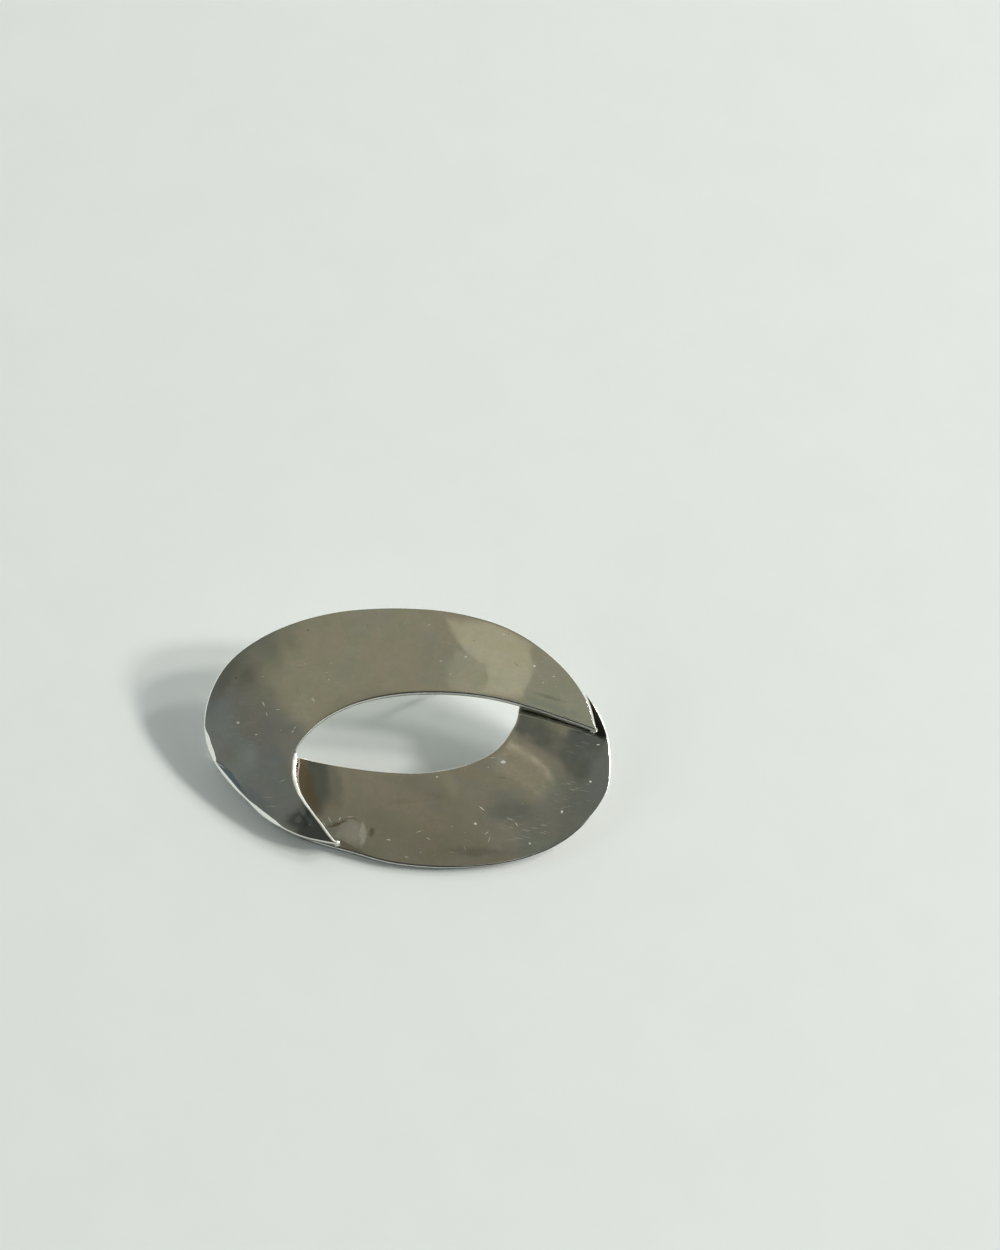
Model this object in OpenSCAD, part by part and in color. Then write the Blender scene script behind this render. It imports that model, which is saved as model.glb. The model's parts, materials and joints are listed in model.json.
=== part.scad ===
// Statement earring: two domed crescent leaves of sheet silver, lapped into an
// open oval and soldered at their tips, with a straight post behind the upper side.
//
// The ring is drawn in its own frame: u runs along the oval, v across it and
// w out of its face, with the crown of the dome at w = 0. The last step lays
// it down as it rests, on its near rim and on the tip of the post.

/* [Sheet] */
// Thickness of the leaves
sheet_t = 1.0; // [0.8:0.05:1.3]
// Radius that polishing left along the upper edges
edge_r = 0.2; // [0.1:0.02:0.4]
// Radius along the lower edges
under_r = 0.12; // [0.1:0.02:0.3]
// Radius of the dome that the upper leaf follows
dome_r = 75; // [60:1:120]

/* [Oval] */
// Length of the oval
ring_l = 51.6; // [46:0.2:58]
// Width of the oval
ring_w = 33.4; // [30:0.1:37]

/* [Lap] */
// Air between the two leaves along the rim
rim_gap = 0.15; // [0.12:0.01:0.3]
// How much further apart the leaves would be at the middle of the oval
crown_gap = 1.2; // [0.6:0.1:1.6]
// Diameter of the solder beads that join the leaves at their tips
bead_d = 0.9; // [0.7:0.05:1.2]
// Width of the blunted tips
tip_w = 0.3; // [0.2:0.05:0.5]

/* [Post] */
// Diameter of the post
post_d = 0.9; // [0.7:0.05:1.1]
// Length of the post below its pad, with its round tip
post_l = 9.8; // [8:0.1:12]
// Diameter of the pad that the post stands on
pad_d = 3.2; // [2:0.1:5]
// Thickness of the pad
pad_t = 0.5; // [0.3:0.1:0.8]
// Place of the post along the oval
post_u = 4; // [-2:0.5:8]
// Place of the post across the oval
post_v = 11.5; // [9:0.5:12]

/* [Hidden] */
silver = [0.62, 0.61, 0.57];
post_silver = [0.72, 0.71, 0.68];
half_l = ring_l / 2;
half_w = ring_w / 2;
// The outlines below are drawn on an oval of this half length and half width
drawn_half = [25.8, 16.7];
// Steps between two knots of an outline
knot_steps = 8;
// Sections from tip to tip, and how finely the edges are read to place them
stations = 72;
fine = 8;
// Spans across the upper side, across the lower side and round each edge
top_spans = 8;
bottom_spans = 6;
edge_spans = 4;
under_spans = 2;
// Air between the pad of the post and the leaf that carries it
pad_gap = 0.05;
// A first guess of the resting pose, tilt and roll in degrees, and the steps
// and lever arms with which the real one is found
pose_guess = [15, 0];
settle_steps = 16;
rim_arm = 18;
post_arm = 26;

// Each leaf starts at its long slender tip, below on the upper leaf, and ends
// at its short square one. Columns: u, v.
upper_outer = [
    [-6.7, -15.6], [-11.9, -15.0], [-16.5, -13.0], [-21.0, -9.2], [-24.85, -4.8],
    [-25.9, 0.3], [-24.3, 6.0], [-19.85, 10.55], [-13.0, 14.05], [-4.5, 16.05],
    [4.5, 16.7], [11.45, 15.6], [17.3, 12.6], [21.2, 8.8], [23.1, 4.5],
];
upper_inner = [
    [-6.7, -15.6], [-9.2, -13.5], [-11.6, -10.8], [-13.4, -8.2], [-13.9, -5.6],
    [-13.2, -3.2], [-10.9, -0.2], [-7.1, 2.4], [-2.0, 4.3], [3.5, 5.4],
    [9.0, 5.85], [14.0, 5.6], [18.5, 5.1], [23.1, 4.5],
];
// The lower leaf is drawn the same way round and then turned by half a turn
lower_outer = [
    [-6.7, -15.3], [-11.9, -14.9], [-16.5, -12.9], [-20.4, -10.1], [-23.0, -7.4],
    [-25.0, -3.8], [-25.75, 1.0], [-24.3, 5.65], [-20.75, 10.25], [-15.2, 13.8],
    [-8.0, 16.0], [-1.0, 16.7], [4.5, 16.1], [11.9, 14.8], [17.5, 12.0],
    [21.2, 8.3], [23.1, 4.5],
];
lower_inner = [
    [-6.7, -15.3], [-9.2, -13.3], [-11.2, -10.9], [-12.7, -8.2], [-13.05, -5.6],
    [-12.75, -3.2], [-10.9, 0.3], [-7.2, 3.0], [-2.4, 4.7], [3.0, 5.35],
    [9.0, 5.3], [14.0, 4.8], [18.5, 4.6], [23.1, 4.5],
];

// Height of the upper side of each leaf above the crown of the dome
function dome(u, v) = -(u * u + v * v) / (2 * dome_r);
function inside_rim(u, v) = 1 - pow(u / half_l, 2) - pow(v / half_w, 2);
function lap_gap(u, v) = rim_gap + crown_gap * inside_rim(u, v);
function leaf_top(u, v, is_upper) =
    is_upper ? dome(u, v) : dome(u, v) - sheet_t - lap_gap(u, v);

// A smooth curve through the knots, as a dense line
function scaled(knot) = [knot[0] * half_l / drawn_half[0], knot[1] * half_w / drawn_half[1]];
function blend(a, b, c, d, t) =
    0.5 * (2 * b + (c - a) * t + (2 * a - 5 * b + 4 * c - d) * t * t
        + (3 * b - a - 3 * c + d) * t * t * t);
function curve(knots) = let (last = len(knots) - 1) [
    for (i = [0 : last - 1], k = [0 : knot_steps - 1])
        blend(knots[max(i - 1, 0)], knots[i], knots[i + 1],
            knots[min(i + 2, last)], k / knot_steps),
    knots[last],
];

// Points at equal steps of length along a line
function lengths(line, i = 0, sum = 0) =
    i == len(line) ? [] : concat([sum],
        lengths(line, i + 1, i + 1 < len(line) ? sum + norm(line[i + 1] - line[i]) : sum));
function spaced(line, steps) =
    let (run = lengths(line), total = run[len(run) - 1])
    let (us = [for (i = [0 : len(line) - 1]) [run[i], line[i][0]]])
    let (vs = [for (i = [0 : len(line) - 1]) [run[i], line[i][1]]])
    [for (i = [0 : steps]) [lookup(total * i / steps, us), lookup(total * i / steps, vs)]];

// One section from the inner to the outer edge: distance across and depth below the top
function section(width) =
    let (r = min(edge_r, 0.4 * width), q = min(under_r, 0.4 * width))
    let (turn = 90 / edge_spans, under_turn = 90 / under_spans)
    let (half = [for (k = [0 : edge_spans]) [r * (1 - cos(k * turn)), r * (1 - sin(k * turn))]])
    let (under = [for (k = [0 : under_spans])
        [q * (1 - cos(k * under_turn)), sheet_t - q * (1 - sin(k * under_turn))]])
    concat(
        half,
        [for (k = [1 : top_spans - 1]) [r + (width - 2 * r) * k / top_spans, 0]],
        [for (k = [edge_spans : -1 : 0]) [width - half[k][0], half[k][1]]],
        [for (k = [0 : under_spans]) [width - under[k][0], under[k][1]]],
        [for (k = [bottom_spans - 1 : -1 : 1]) [q + (width - 2 * q) * k / bottom_spans, sheet_t]],
        [for (k = [under_spans : -1 : 0]) under[k]]
    );
function placed_section(inner, outer, turn, is_upper) =
    let (width = norm(outer - inner), across = (outer - inner) / width)
    [for (p = section(width))
        let (q = turn * (inner + across * p[0]))
        [q[0], q[1], leaf_top(q[0], q[1], is_upper) - p[1]]];

// The sections start and end where the two edges are tip_w apart
function leaf_sections(outer_knots, inner_knots, is_upper) =
    let (outer = spaced(curve([for (k = outer_knots) scaled(k)]), stations * fine))
    let (inner = spaced(curve([for (k = inner_knots) scaled(k)]), stations * fine))
    let (turn = is_upper ? 1 : -1)
    let (wide = [for (i = [0 : stations * fine]) if (norm(outer[i] - inner[i]) >= tip_w) i])
    let (first = wide[0], last = wide[len(wide) - 1])
    [for (i = [0 : stations])
        let (k = round(first + (last - first) * i / stations))
        placed_section(inner[k], outer[k], turn, is_upper)];

module leaf(sections) {
    ring = len(sections[0]);
    last = len(sections) - 1;
    points = [for (s = sections, p = s) p];
    sides = [
        for (i = [0 : last - 1], j = [0 : ring - 1])
            let (a = i * ring + j, b = i * ring + (j + 1) % ring)
            each [[a, b, a + ring], [b, b + ring, a + ring]]
    ];
    start_cap = [for (j = [ring - 1 : -1 : 0]) j];
    end_cap = [for (j = [0 : ring - 1]) last * ring + j];
    polyhedron(points, concat(sides, [start_cap, end_cap]), convexity = 10);
}

upper_sections = leaf_sections(upper_outer, upper_inner, true);
lower_sections = leaf_sections(lower_outer, lower_inner, false);

// The post stands square on the underside of the upper leaf. Its direction is
// worked out first, because the ring rests on its tip.
post_slope = [post_u, post_v] / dome_r;
post_base = [post_u, post_v, dome(post_u, post_v) - sheet_t - pad_gap];
post_turn = [-atan(post_slope[1]), atan(post_slope[0]), 0];
post_down = -[post_slope[0], post_slope[1], 1] / norm([post_slope[0], post_slope[1], 1]);
post_tip = post_base + post_down * (pad_t + post_l - post_d / 2);

// Heights after the ring has been rolled about its width and tilted about its length
function rolled(p, roll) =
    [p[0] * cos(roll) + p[2] * sin(roll), p[1], p[2] * cos(roll) - p[0] * sin(roll)];
function tilted(p, tilt) =
    [p[0], p[1] * cos(tilt) - p[2] * sin(tilt), p[1] * sin(tilt) + p[2] * cos(tilt)];
function turned(p, pose) = tilted(rolled(p, pose[1]), pose[0]);
function lowest(points, pose) = min([for (p = points) turned(p, pose)[2]]);

// The ring settles until both halves of its near rim and the tip of the post are level
leaf_points = [for (s = concat(upper_sections, lower_sections), p = s) p];
left_points = [for (p = leaf_points) if (p[0] < 0) p];
right_points = [for (p = leaf_points) if (p[0] >= 0) p];
function settled(pose, steps) =
    steps == 0 ? pose :
    let (left = lowest(left_points, pose), right = lowest(right_points, pose))
    let (tip = turned(post_tip, pose)[2] - post_d / 2)
    settled([pose[0] + atan((min(left, right) - tip) / post_arm),
        pose[1] + atan((right - left) / rim_arm)], steps - 1);
rest_pose = settled(pose_guess, settle_steps);

// The origin is under the middle of the resting ring
resting = [for (p = leaf_points) turned(p, rest_pose)];
function middle(values) = (min(values) + max(values)) / 2;
rest_shift = -[
    middle([for (p = resting) p[0]]),
    middle([for (p = resting) p[1]]),
    min([for (p = resting) p[2]]),
];

module at_rest() {
    translate(rest_shift)
        rotate([rest_pose[0], 0, 0])
            rotate([0, rest_pose[1], 0])
                children();
}

module upper_leaf() {
    leaf(upper_sections);
}

module lower_leaf() {
    leaf(lower_sections);
}

// A bead of solder fills the lap under the middle of a section near a tip.
// It shows at the slender tips and stays under the square ones.
module bead(near) {
    at = [for (p = near) 1] * near / len(near);
    translate([at[0], at[1], dome(at[0], at[1]) - sheet_t - lap_gap(at[0], at[1]) / 2])
        sphere(d = bead_d, $fn = 12);
}

module solder() {
    for (sections = [upper_sections, lower_sections]) {
        bead(sections[0]);
        bead(sections[stations - 1]);
    }
}

module leaves() {
    color(silver)
        at_rest() {
            upper_leaf();
            lower_leaf();
            solder();
        }
}

module ear_post() {
    shank = pad_t + post_l - post_d / 2;
    color(post_silver)
        at_rest()
            translate(post_base)
                rotate(post_turn)
                    mirror([0, 0, 1]) {
                        cylinder(h = pad_t, d = pad_d, $fn = 48);
                        cylinder(h = shank, d = post_d, $fn = 32);
                        translate([0, 0, shank])
                            sphere(d = post_d, $fn = 32);
                    }
}

leaves();
ear_post();
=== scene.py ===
import json
import math

import bmesh
import bpy
import numpy as np
from mathutils import Matrix, Vector


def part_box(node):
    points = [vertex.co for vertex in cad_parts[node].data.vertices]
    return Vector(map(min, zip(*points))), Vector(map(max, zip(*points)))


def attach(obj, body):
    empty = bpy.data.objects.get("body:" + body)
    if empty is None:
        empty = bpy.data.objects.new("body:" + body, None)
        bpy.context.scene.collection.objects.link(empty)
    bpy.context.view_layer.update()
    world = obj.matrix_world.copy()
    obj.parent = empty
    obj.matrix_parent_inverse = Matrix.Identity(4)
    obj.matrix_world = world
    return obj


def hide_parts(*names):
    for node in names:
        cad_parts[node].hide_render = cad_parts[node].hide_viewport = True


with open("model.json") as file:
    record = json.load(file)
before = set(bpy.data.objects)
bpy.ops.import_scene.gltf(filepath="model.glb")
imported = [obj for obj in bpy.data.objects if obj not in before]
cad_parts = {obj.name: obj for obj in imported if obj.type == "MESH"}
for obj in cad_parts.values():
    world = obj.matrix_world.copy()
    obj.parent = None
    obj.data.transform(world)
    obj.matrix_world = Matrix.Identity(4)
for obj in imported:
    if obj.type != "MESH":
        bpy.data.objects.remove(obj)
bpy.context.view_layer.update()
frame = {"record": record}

MM = 0.001

# The ring's own frame, in millimetres
# u runs along the oval, v across it and w out of its face, with w = 0 at the crown of the dome
HALF_L, HALF_W = 25.8, 16.7
SHEET = 1.0
DOME_R = 75.0
RIM_GAP = 0.15
CROWN_GAP = 1.2
TIP_W = 0.16
NOSE = 0.12

# Width of the bevel along the sheet's edges: plain ones, crisp ones and below
EDGE = 0.2
CRISP = 0.09
UNDER = 0.12
SOFT_CORNER = 0.05
# The most that a bevel, an edge below and the leaning wall take of the leaf's width,
# and the most that a soft corner takes of the side beside it
MOST_BEVEL, MOST_UNDER, MOST_LEAN = 0.38, 0.3, 0.3
MOST_CORNER = 0.46
# Lengths closer than this are taken as the same, in millimetres
NEARLY = 0.01
# Where the edges are filed down by hand: share of the leaf's length from its slender tip,
# width of the bevel, how far it stands out, depth for its width
UPPER_INNER_FILED = [
    (0.0, 0.30, 0.0, 0.65), (0.03, 0.36, 0.12, 0.65), (0.06, 0.36, 0.27, 0.65),
    (0.08, 0.34, 0.22, 0.65), (0.105, 0.34, 0.15, 0.65), (0.125, 0.42, 0.10, 0.65),
    (0.15, 0.50, 0.12, 0.65), (0.17, 0.55, 0.26, 0.65), (0.19, 0.57, 0.38, 0.65),
    (0.215, 0.58, 0.48, 0.65), (0.238, 0.55, 0.48, 0.65), (0.246, 0.34, 0.24, 0.65),
    (0.256, 0.05, 0.0, 0.65), (0.36, 0.08, 0.0, 0.65), (0.47, EDGE, 0.0, 0.65),
    (1.0, EDGE, 0.0, 0.65),
]
UPPER_OUTER_FILED = [
    (0.0, 0.10, 0.0, 0.85), (0.04, 0.10, 0.10, 0.85), (0.085, 0.13, 0.03, 0.85),
    (0.10, 0.44, 0.07, 0.85), (0.115, 0.50, 0.10, 0.85), (0.133, 0.40, 0.13, 0.85),
    (0.146, 0.16, 0.13, 0.85), (0.166, 0.27, 0.34, 0.85), (0.185, 0.33, 0.42, 0.85),
    (0.205, 0.28, 0.40, 0.85), (0.218, 0.16, 0.34, 0.85), (0.227, 0.42, 0.20, 0.85),
    (0.24, 0.58, 0.06, 0.85), (0.262, 0.50, 0.0, 0.85), (0.275, CRISP, 0.0, 0.85),
    (0.69, CRISP, 0.0, 0.85), (0.74, 0.20, 0.0, 0.7), (0.85, 0.34, 0.03, 0.7),
    (0.93, 0.48, 0.11, 0.7), (1.0, 0.42, 0.13, 0.7),
]
LOWER_INNER_FILED = [(0.0, CRISP, 0.0, 0.65), (1.0, CRISP, 0.0, 0.65)]
LOWER_OUTER_FILED = [
    (0.0, CRISP, 0.0, 0.5), (0.13, CRISP, 0.0, 0.3), (0.17, 0.11, 0.0, 0.22),
    (0.21, 0.16, 0.0, 0.23), (0.24, 0.20, 0.0, 0.3), (0.27, 0.26, 0.0, 0.42),
    (0.30, 0.27, 0.0, 0.5), (0.315, 0.14, 0.0, 0.45), (0.325, 0.05, 0.0, 0.3),
    (0.345, 0.04, 0.02, 0.3), (0.37, 0.08, 0.06, 0.3), (0.40, 0.16, 0.12, 0.35),
    (0.46, 0.20, 0.17, 0.35), (0.52, 0.20, 0.14, 0.4), (0.58, 0.20, 0.06, 0.5),
    (0.64, 0.20, 0.0, 0.5), (1.0, 0.20, 0.0, 0.5),
]
# Share of the leaf's length, and how far the foot of the lower leaf's outer wall leans in there
LOWER_LEAN = [(0.30, 0.0), (0.38, 0.28), (0.46, 0.34), (0.54, 0.32), (0.62, 0.14), (0.70, 0.0)]
# The post: its place under the upper leaf, its wire, its pad and the gap between pad and leaf
POST_U, POST_V = 4.0, 11.5
POST_D, POST_L = 0.9, 9.8
PAD_D, PAD_T, PAD_GAP = 3.2, 0.5, 0.05
PAD_ROUND = 0.14
# Radii of the solder round the foot of the wire and round the pad
ROOT_FILLET, SEAM_FILLET = 0.18, 0.21
# How far the solder round the pad rises towards the leaf, and how closely it joins the pad's side
SEAM_RISES = (0.03, 0.035)
SEAM_TUCK = 0.98

# Beads of solder at the slender and at the square tip: row, radii and shift from the tip's middle
BEADS = [(0, (0.42, 0.38, 0.6), (0.05, 0.25, 0.15)), (-2, (0.4, 0.4, 0.46), (0, 0, 0))]
# How lumpy a bead is, and how fast that changes along x, y and z
BEAD_LUMPS = 0.06
LUMP_WAVES = (5, 3, 4)

# Fineness of the leaves' meshes
KNOT_STEPS = 24
STATIONS = 280
OUTLINE_STEPS = 10 * STATIONS
TOP_SPANS, BOTTOM_SPANS = 30, 16
BEVEL_SPANS, WALL_SPANS = 3, 4
CORNER_SPANS, UNDER_SPANS = 5, 5
NOSE_SPANS = 4
# Share of a step by which the last section at a tip stays open
NOSE_OPEN = 0.3

# Fineness of the post and of the beads
POST_SIDES = 64
QUARTER_STEPS, TIP_STEPS = 8, 14
BEAD_FINENESS = 5
# The post's round tip stops just short of its axis, in degrees
TIP_END = -88

# Each leaf from its slender tip to its square one, as u, v
# The lower leaf is drawn the same way round and then turned by half a turn
UPPER_OUTER = [
    (-6.7, -15.6), (-11.9, -15.0), (-16.5, -13.0), (-21.0, -9.2), (-24.85, -4.8),
    (-25.9, 0.3), (-24.3, 6.0), (-19.85, 10.55), (-13.0, 14.05), (-4.5, 16.05),
    (4.5, 16.7), (11.45, 15.6), (17.3, 12.6), (21.2, 8.8), (23.1, 4.5),
]
UPPER_INNER = [
    (-6.7, -15.6), (-9.2, -13.5), (-11.6, -10.8), (-13.4, -8.2), (-13.9, -5.6),
    (-13.2, -3.2), (-10.9, -0.2), (-7.1, 2.4), (-2.0, 4.3), (3.5, 5.4),
    (9.0, 5.85), (14.0, 5.6), (18.5, 5.1), (23.1, 4.5),
]
LOWER_OUTER = [
    (-6.7, -15.3), (-11.9, -14.9), (-16.5, -12.9), (-20.4, -10.1), (-23.0, -7.4),
    (-25.0, -3.8), (-25.75, 1.0), (-24.3, 5.65), (-20.75, 10.25), (-15.2, 13.8),
    (-8.0, 16.0), (-1.0, 16.7), (4.5, 16.1), (11.9, 14.8), (17.5, 12.0),
    (21.2, 8.3), (23.1, 4.5),
]
LOWER_INNER = [
    (-6.7, -15.3), (-9.2, -13.3), (-11.2, -10.9), (-12.7, -8.2), (-13.05, -5.6),
    (-12.75, -3.2), (-10.9, 0.3), (-7.2, 3.0), (-2.4, 4.7), (3.0, 5.35),
    (9.0, 5.3), (14.0, 4.8), (18.5, 4.6), (23.1, 4.5),
]

# Hand planishing leaves the sheet a little uneven
WAVES = 9
WAVE_HEIGHT = 0.005
WAVE_SHORT, WAVE_LONG = 5.0, 15.0
UPPER_SEED, LOWER_SEED = 11, 23

# The photograph's frame in pixels, and where the crown of the dome stands in it
IMAGE_W, IMAGE_H = 1000, 1250
CROWN_PX = (410.05, 728.6)
# The camera looks at the ring this far off its face, as a turn towards -v and one towards +u
VIEW_TOWARDS_NEAR = 0.2986
VIEW_TOWARDS_RIGHT = 0.0238
# Turn of the picture about the line of sight, distance in mm and pixels per mm at the crown
VIEW_ROLL = 0.1545
VIEW_DISTANCE = 620.0
VIEW_SCALE = 8.003
SENSOR = 36.0
CLIP_NEAR, CLIP_FAR = 0.05, 20

# Key light from the right, through three panes: azimuth, elevation and power
PANES = [(4.0, 28.0, 10.8), (16.0, 30.5, 8.7), (34.0, 29.0, 5.9)]
PANE_DISTANCE = 1.7
PANE_RADIUS = 0.1
PANE_COLOUR = (1.0, 0.975, 0.915)

# Floor
FLOOR_SIZE = 6.0
FLOOR_COLOUR = (0.86, 0.895, 0.897, 1)
FLOOR_DIM = 0.985
FLOOR_MOTTLE = ((90, 4, 0.6), 0.3, 0.7)
FLOOR_ROUGH, FLOOR_SHINE = 0.9, 0.1

# Roughness of the best polished and of the haziest places
POLISH, HAZE = 0.05, 0.11
# What scratches, specks, the wall's satin strip, its sawn part and the wall as a whole add to it
SCRATCH_ROUGH, SPECK_ROUGH, STRIP_ROUGH, SAWN_ROUGH, WALL_ROUGH = 0.3, 0.5, 0.38, 0.15, 0.10
# Height of dents, scratches, specks and file lines, as a multiple of BUMP millimetres
BUMP = 0.004
DENT_RISE, SCRATCH_RISE, SPECK_RISE, FILED_RISE = 0.35, -0.3, 3.0, 1.2

# Noise in the silver: changes per millimetre, detail, roughness and distortion,
# then its lowest and highest value that count, and what they stand for where that isn't 0 and 1
CLOUDS = ((0.13, 4, 0.55, 0.6), 0.36, 0.66)
MOTTLE = ((0.55, 5, 0.6, 0.5), 0.4, 0.68, 0, 0.55)
RIM_PATCHES = ((0.4, 3), 0.35, 0.6, 0.4, 1)
WEAR = ((0.16, 3), 0.45, 0.65, 0.12, 0.8)
# Patches in the painted shade along the foot of the sheet's wall
FOOT_SHADE_PATCHES = ((1.0, 4, 0.6), 0.3, 0.6, 0.7, 0.95)
HAZES = ((0.35, 4, 0.6), 0.35, 0.7, POLISH, HAZE)
# Noise taken as it is
DENTS = (1.1, 2)
FILE_LINES = (1.0, 3, 0.6)
# Noise that moves a pattern about, and how far in millimetres
BENDING = ((0.5, 6, 0.72), 1.5)
CURVING = ((0.2, 1), 1.2)
CRUMBLING = ((5, 2), 0.22)
TEARING = ((4, 3), 0.12)
# Patterns drawn finer along some axes
MOTTLE_STRETCH = (0.7, 1.3, 1)
# Patches of painted shade at the wall's foot are drawn finer in depth
FOOT_SHADE_STRETCH = (0.9, 1, 3)
FILE_STRETCH = (3.5, 9, 26)

# Soft limits in millimetres, from where to where, and what they stand for
ON_EDGE = (0.0, 0.05, 1, 0)
ON_FACE = (0.02, 0.2, 1, 0)
# Depth down the wall at which the painted shade along its foot starts and is full
ON_SHADED_FOOT = (0.32, 0.46)
STRIP_TOP, STRIP_FOOT = (0.0, 0.06), (0.46, 0.36)
RIM_STAIN, RIM_FADE = (0.02, 0.15, 0.6, 0), (1, 5, 1, 0.2)
# How much polish the edges and the scratches show
EDGE_SHOWS, SCRATCH_SHOWS = 0.85, 0.3
# From which strength the bloom's tint takes the place of the dust's
BLOOM_OVER_DUST = (0.02, 0.1)

# Scratches all over: turn in degrees, length, width, share of the cells that hold one, change of seed
SCRATCHES = [
    (11, 2.4, 0.05, 0.012, 0), (-34, 1.8, 0.045, 0.006, -34),
    (64, 1.5, 0.045, 0.004, 64), (6, 5.0, 0.045, 0.004, 6),
]
SCUFF_HAIRS = (4, 2.2, 0.07, 0.16, 3)
HAIR_STEP = (3.7, 9.1)
HAIR_FADE = (0.1, 0.42, 1, 0)
MARK_SOFT = 0.45
# Dust: cells per millimetre, size of the specks by chance, strength
DUST_CELLS = 0.6
DUST_SIZE = (0.94, 1.0, 0.0, 0.035)
DUST_STRENGTH = 0.4

SILVER_CLEAN = (0.87, 0.86, 0.80, 1)
SILVER_WARM = (0.81, 0.79, 0.68, 1)
SILVER_OLIVE = (0.77, 0.77, 0.66, 1)
# Tarnish in clouds: tint, clouds per millimetre and strength
TARNISH = [
    ((0.74, 0.79, 0.66, 1), 0.17, 0.5), ((0.89, 0.81, 0.77, 1), 0.13, 0.5),
    ((0.74, 0.78, 0.82, 1), 0.10, 0.55), ((0.73, 0.76, 0.65, 1), 0.42, 0.35),
    ((0.86, 0.79, 0.75, 1), 0.35, 0.35), ((0.72, 0.75, 0.70, 1), 1.1, 0.25),
    ((0.92, 0.87, 0.84, 1), 0.9, 0.25),
]
TARNISH_NOISE = (5, 0.55, 0.7)
TARNISH_EDGE = (0.51, 0.60)
TARNISH_STEP = (17, 5)
SILVER_EDGE = (0.95, 0.94, 0.90, 1)
# Painted shade along the foot of the sheet's wall: a dark line for shadow and dark reflection under the
# edge, partly the cut edge's own brownish tint
SAWN_FOOT_SHADE = (0.34, 0.325, 0.28, 1)
DUST = (0.66, 0.65, 0.57, 1)
BLOOM = (0.60, 0.60, 0.44, 1)
# Painted shade, near black: shadow and dark reflection on the lower leaf beside the upper leaf's square
# tip
SHADE_BLACK = (0.07, 0.06, 0.05, 1)
STAIN_DARK = (0.30, 0.30, 0.28, 1)
STAIN_GREEN = (0.30, 0.35, 0.34, 1)
STAIN_BLUE = (0.36, 0.43, 0.50, 1)
STAIN_VIOLET = (0.46, 0.43, 0.47, 1)
STAIN_BROWN = (0.36, 0.30, 0.22, 1)
STAIN_RUST = (0.50, 0.40, 0.26, 1)

# Stains, and in the lower leaf's table two near-black patches of painted shade: tint, strength, centre,
# radii, turn in degrees, softness
UPPER_STAINS = [
    (STAIN_GREEN, 0.3, (-24.6, 3.6), (1.1, 5.0), -18, 0.7),
    (STAIN_BLUE, 0.8, (-21.3, -8.7), (2.7, 0.42), -45, 0.35),
    (STAIN_BLUE, 0.25, (-17.6, -11.2), (2.6, 0.7), -34, 0.6),
    (STAIN_VIOLET, 0.6, (-11.05, -13.0), (0.4, 1.2), -8, 0.3),
    (STAIN_DARK, 0.4, (16.6, 7.4), (1.6, 0.2), -6, 0.7),
    (STAIN_BLUE, 0.25, (17.0, 6.2), (3.6, 0.5), -8, 0.7),
    (STAIN_DARK, 0.25, (-21.0, 5.0), (1.8, 0.9), 60, 0.7),
]
LOWER_STAINS_AND_SHADE = [
    (STAIN_GREEN, 0.92, (-10.6, -7.4), (4.2, 1.4), -74, 0.45),
    (STAIN_GREEN, 0.8, (-11.2, -4.9), (1.9, 0.8), -14, 0.35),
    (STAIN_GREEN, 0.45, (-8.8, -7.6), (3.4, 1.3), -70, 0.5),
    (STAIN_BROWN, 0.85, (-12.1, -8.2), (4.2, 1.2), -66, 0.45),
    (STAIN_BROWN, 0.4, (-10.6, -10.3), (1.9, 0.9), -60, 0.4),
    (STAIN_BROWN, 0.85, (-7.3, -12.8), (1.0, 0.16), 30, 0.4),
    (STAIN_RUST, 0.6, (-5.5, -12.0), (1.0, 0.10), 12, 0.5),
    (STAIN_BROWN, 0.65, (-2.75, -13.2), (0.36, 0.5), -20, 0.5),
    (STAIN_DARK, 0.5, (-5.6, -15.4), (2.3, 0.3), -12, 0.5),
    (STAIN_RUST, 0.2, (0.4, -8.8), (1.5, 0.3), 14, 0.8),
    (STAIN_RUST, 0.2, (4.2, -7.4), (1.0, 0.25), -6, 0.8),
    (STAIN_BLUE, 0.35, (14.0, -7.8), (2.4, 1.2), 14, 0.5),
    (STAIN_DARK, 0.35, (10.5, -13.6), (3.2, 0.5), 8, 0.7),
    # Painted shade: shadow and dark reflection on the lower leaf around and under the upper leaf's
    # square tip
    (SHADE_BLACK, 0.97, (22.95, 6.3), (2.8, 1.1), -61, 0.2),
    (SHADE_BLACK, 0.4, (22.4, 4.3), (1.8, 0.25), 4, 0.4),
]
# Matt bloom on the silver: centre, length, width, turn in degrees, strength
UPPER_BLOOM = [((-12.1, -13.2), 0.9, 0.9, 0, 0.06), ((-11.2, -12.7), 3.2, 0.5, -52, 0.05)]
LOWER_BLOOM = [
    ((-3.85, -13.6), 0.8, 2.9, 6, 0.30), ((-5.2, -13.6), 3.2, 2.7, -15, 0.15),
    ((-6.7, -14.2), 1.0, 0.8, 0, 0.14),
]

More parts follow.
